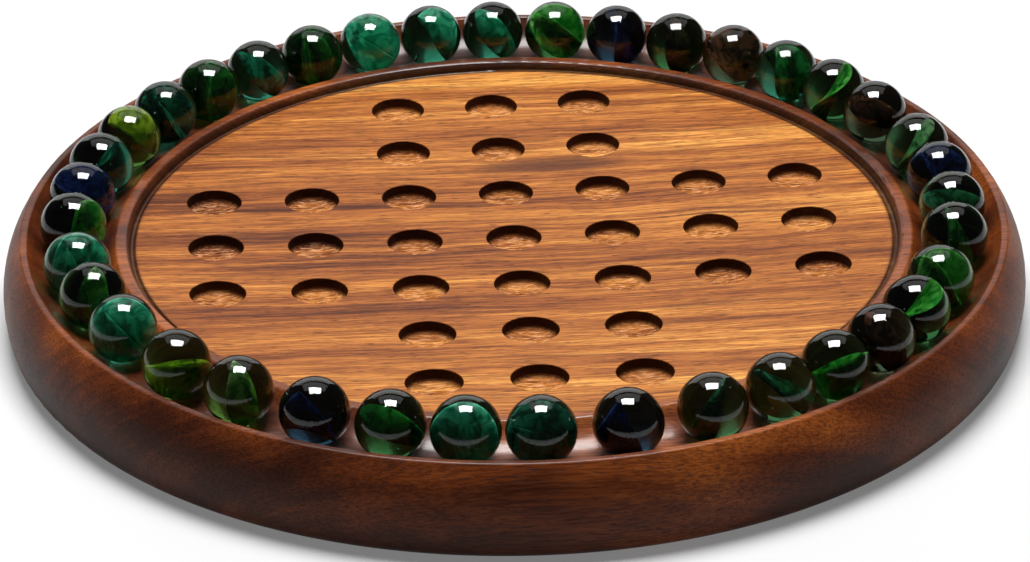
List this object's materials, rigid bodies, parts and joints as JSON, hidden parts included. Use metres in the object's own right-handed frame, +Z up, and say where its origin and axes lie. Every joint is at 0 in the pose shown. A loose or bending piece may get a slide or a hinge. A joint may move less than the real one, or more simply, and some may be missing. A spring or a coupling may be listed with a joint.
{
  "type": "marble solitaire board",
  "caption": "Round turned hardwood solitaire board: a cross of dimples in a dished play surface, and a rim groove that holds the loose glass marbles.",
  "frame": {"origin": "centre of the flat base", "axes": "+Z up; +X along the long rows of dimples; the board is round about +Z"},
  "size_m": [0.247, 0.247, 0.0313],
  "materials": {
    "rosewood": "polished clear lacquer",
    "green_glass": "clear bottle glass with green vanes",
    "teal_glass": "clear bottle glass with teal vanes",
    "blue_glass": "clear bottle glass with navy blue vanes",
    "olive_glass": "clear bottle glass with yellow-green vanes",
    "brown_glass": "clear bottle glass with brown vanes",
    "clear_glass": "clear bottle glass with seed bubbles"
  },
  "bodies": {
    "board": {"board": "rosewood"},
    "marble_01": {"marble_01": "teal_glass"},
    "marble_02": {"marble_02": "green_glass"},
    "marble_03": {"marble_03": "teal_glass"},
    "marble_04": {"marble_04": "olive_glass"},
    "marble_05": {"marble_05": "olive_glass"},
    "marble_06": {"marble_06": "blue_glass"},
    "marble_07": {"marble_07": "green_glass"},
    "marble_08": {"marble_08": "teal_glass"},
    "marble_09": {"marble_09": "teal_glass"},
    "marble_10": {"marble_10": "blue_glass"},
    "marble_11": {"marble_11": "clear_glass"},
    "marble_12": {"marble_12": "clear_glass"},
    "marble_13": {"marble_13": "green_glass"},
    "marble_14": {"marble_14": "brown_glass"},
    "marble_15": {"marble_15": "green_glass"},
    "marble_16": {"marble_16": "green_glass"},
    "marble_17": {"marble_17": "clear_glass"},
    "marble_18": {"marble_18": "clear_glass"},
    "marble_19": {"marble_19": "blue_glass"},
    "marble_20": {"marble_20": "clear_glass"},
    "marble_21": {"marble_21": "brown_glass"},
    "marble_22": {"marble_22": "green_glass"},
    "marble_23": {"marble_23": "teal_glass"},
    "marble_24": {"marble_24": "brown_glass"},
    "marble_25": {"marble_25": "green_glass"},
    "marble_26": {"marble_26": "blue_glass"},
    "marble_27": {"marble_27": "green_glass"},
    "marble_28": {"marble_28": "teal_glass"},
    "marble_29": {"marble_29": "teal_glass"},
    "marble_30": {"marble_30": "teal_glass"},
    "marble_31": {"marble_31": "green_glass"},
    "marble_32": {"marble_32": "teal_glass"},
    "marble_33": {"marble_33": "green_glass"},
    "marble_34": {"marble_34": "teal_glass"},
    "marble_35": {"marble_35": "olive_glass"},
    "marble_36": {"marble_36": "teal_glass"},
    "marble_37": {"marble_37": "blue_glass"},
    "marble_38": {"marble_38": "green_glass"}
  },
  "joints": [
    {"name": "marble_01_lift", "type": "slide", "parent": "board", "child": "marble_01", "axis": [0, 0, 1], "range_m": [0, 0.03]},
    {"name": "marble_02_lift", "type": "slide", "parent": "board", "child": "marble_02", "axis": [0, 0, 1], "range_m": [0, 0.03]},
    {"name": "marble_03_lift", "type": "slide", "parent": "board", "child": "marble_03", "axis": [0, 0, 1], "range_m": [0, 0.03]},
    {"name": "marble_04_lift", "type": "slide", "parent": "board", "child": "marble_04", "axis": [0, 0, 1], "range_m": [0, 0.03]},
    {"name": "marble_05_lift", "type": "slide", "parent": "board", "child": "marble_05", "axis": [0, 0, 1], "range_m": [0, 0.03]},
    {"name": "marble_06_lift", "type": "slide", "parent": "board", "child": "marble_06", "axis": [0, 0, 1], "range_m": [0, 0.03]},
    {"name": "marble_07_lift", "type": "slide", "parent": "board", "child": "marble_07", "axis": [0, 0, 1], "range_m": [0, 0.03]},
    {"name": "marble_08_lift", "type": "slide", "parent": "board", "child": "marble_08", "axis": [0, 0, 1], "range_m": [0, 0.03]},
    {"name": "marble_09_lift", "type": "slide", "parent": "board", "child": "marble_09", "axis": [0, 0, 1], "range_m": [0, 0.03]},
    {"name": "marble_10_lift", "type": "slide", "parent": "board", "child": "marble_10", "axis": [0, 0, 1], "range_m": [0, 0.03]},
    {"name": "marble_11_lift", "type": "slide", "parent": "board", "child": "marble_11", "axis": [0, 0, 1], "range_m": [0, 0.03]},
    {"name": "marble_12_lift", "type": "slide", "parent": "board", "child": "marble_12", "axis": [0, 0, 1], "range_m": [0, 0.03]},
    {"name": "marble_13_lift", "type": "slide", "parent": "board", "child": "marble_13", "axis": [0, 0, 1], "range_m": [0, 0.03]},
    {"name": "marble_14_lift", "type": "slide", "parent": "board", "child": "marble_14", "axis": [0, 0, 1], "range_m": [0, 0.03]},
    {"name": "marble_15_lift", "type": "slide", "parent": "board", "child": "marble_15", "axis": [0, 0, 1], "range_m": [0, 0.03]},
    {"name": "marble_16_lift", "type": "slide", "parent": "board", "child": "marble_16", "axis": [0, 0, 1], "range_m": [0, 0.03]},
    {"name": "marble_17_lift", "type": "slide", "parent": "board", "child": "marble_17", "axis": [0, 0, 1], "range_m": [0, 0.03]},
    {"name": "marble_18_lift", "type": "slide", "parent": "board", "child": "marble_18", "axis": [0, 0, 1], "range_m": [0, 0.03]},
    {"name": "marble_19_lift", "type": "slide", "parent": "board", "child": "marble_19", "axis": [0, 0, 1], "range_m": [0, 0.03]},
    {"name": "marble_20_lift", "type": "slide", "parent": "board", "child": "marble_20", "axis": [0, 0, 1], "range_m": [0, 0.03]},
    {"name": "marble_21_lift", "type": "slide", "parent": "board", "child": "marble_21", "axis": [0, 0, 1], "range_m": [0, 0.03]},
    {"name": "marble_22_lift", "type": "slide", "parent": "board", "child": "marble_22", "axis": [0, 0, 1], "range_m": [0, 0.03]},
    {"name": "marble_23_lift", "type": "slide", "parent": "board", "child": "marble_23", "axis": [0, 0, 1], "range_m": [0, 0.03]},
    {"name": "marble_24_lift", "type": "slide", "parent": "board", "child": "marble_24", "axis": [0, 0, 1], "range_m": [0, 0.03]},
    {"name": "marble_25_lift", "type": "slide", "parent": "board", "child": "marble_25", "axis": [0, 0, 1], "range_m": [0, 0.03]},
    {"name": "marble_26_lift", "type": "slide", "parent": "board", "child": "marble_26", "axis": [0, 0, 1], "range_m": [0, 0.03]},
    {"name": "marble_27_lift", "type": "slide", "parent": "board", "child": "marble_27", "axis": [0, 0, 1], "range_m": [0, 0.03]},
    {"name": "marble_28_lift", "type": "slide", "parent": "board", "child": "marble_28", "axis": [0, 0, 1], "range_m": [0, 0.03]},
    {"name": "marble_29_lift", "type": "slide", "parent": "board", "child": "marble_29", "axis": [0, 0, 1], "range_m": [0, 0.03]},
    {"name": "marble_30_lift", "type": "slide", "parent": "board", "child": "marble_30", "axis": [0, 0, 1], "range_m": [0, 0.03]},
    {"name": "marble_31_lift", "type": "slide", "parent": "board", "child": "marble_31", "axis": [0, 0, 1], "range_m": [0, 0.03]},
    {"name": "marble_32_lift", "type": "slide", "parent": "board", "child": "marble_32", "axis": [0, 0, 1], "range_m": [0, 0.03]},
    {"name": "marble_33_lift", "type": "slide", "parent": "board", "child": "marble_33", "axis": [0, 0, 1], "range_m": [0, 0.03]},
    {"name": "marble_34_lift", "type": "slide", "parent": "board", "child": "marble_34", "axis": [0, 0, 1], "range_m": [0, 0.03]},
    {"name": "marble_35_lift", "type": "slide", "parent": "board", "child": "marble_35", "axis": [0, 0, 1], "range_m": [0, 0.03]},
    {"name": "marble_36_lift", "type": "slide", "parent": "board", "child": "marble_36", "axis": [0, 0, 1], "range_m": [0, 0.03]},
    {"name": "marble_37_lift", "type": "slide", "parent": "board", "child": "marble_37", "axis": [0, 0, 1], "range_m": [0, 0.03]},
    {"name": "marble_38_lift", "type": "slide", "parent": "board", "child": "marble_38", "axis": [0, 0, 1], "range_m": [0, 0.03]}
  ]
}
